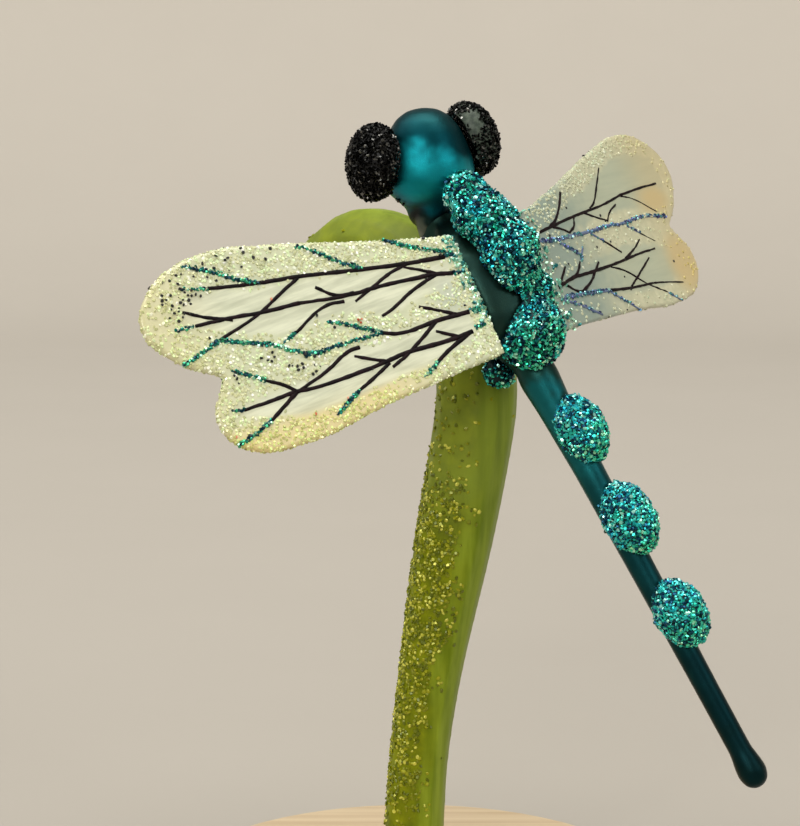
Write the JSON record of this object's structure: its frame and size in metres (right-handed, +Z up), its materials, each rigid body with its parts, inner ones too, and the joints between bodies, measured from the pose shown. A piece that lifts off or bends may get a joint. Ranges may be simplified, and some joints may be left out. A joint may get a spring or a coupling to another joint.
{
  "type": "glass dragonfly ornament",
  "caption": "Glass dragonfly ornament with glittered back, tail beads and eyes and veined flat wings, perched on a cut glass stem held by a round display stand.",
  "frame": {"origin": "centre of the stand base's underside", "axes": "+Z up; the camera of the picture looks along +Y, with +X to its right"},
  "size_m": [0.0626, 0.056, 0.088],
  "materials": {
    "teal_glass": "satin lacquered teal glass, seen as opaque",
    "teal_glitter": "glass blob coated all over in teal craft glitter",
    "black_glitter": "glass blob coated in black craft glitter",
    "pearl_glass": "pearly cream-green sheet with a border of iridescent glitter and painted black and teal veins",
    "stem_glass": "smooth olive-green glass with gold-lime glitter down one side",
    "base_wood": "pale birch, matte",
    "rod_steel": "brushed"
  },
  "bodies": {
    "root": {"head": "teal_glass", "neck": "teal_glass", "thorax": "teal_glass", "tail": "teal_glass", "eye_left": "black_glitter", "eye_right": "black_glitter", "ridge_front": "teal_glitter", "ridge_rear": "teal_glitter", "tail_bead_1": "teal_glitter", "tail_bead_2": "teal_glitter", "tail_bead_3": "teal_glitter", "belly_bead": "teal_glitter", "wing_left": "pearl_glass", "wing_right": "pearl_glass", "perch_stem": "stem_glass", "stand_base": "base_wood", "stand_rod": "rod_steel"}
  },
  "joints": []
}
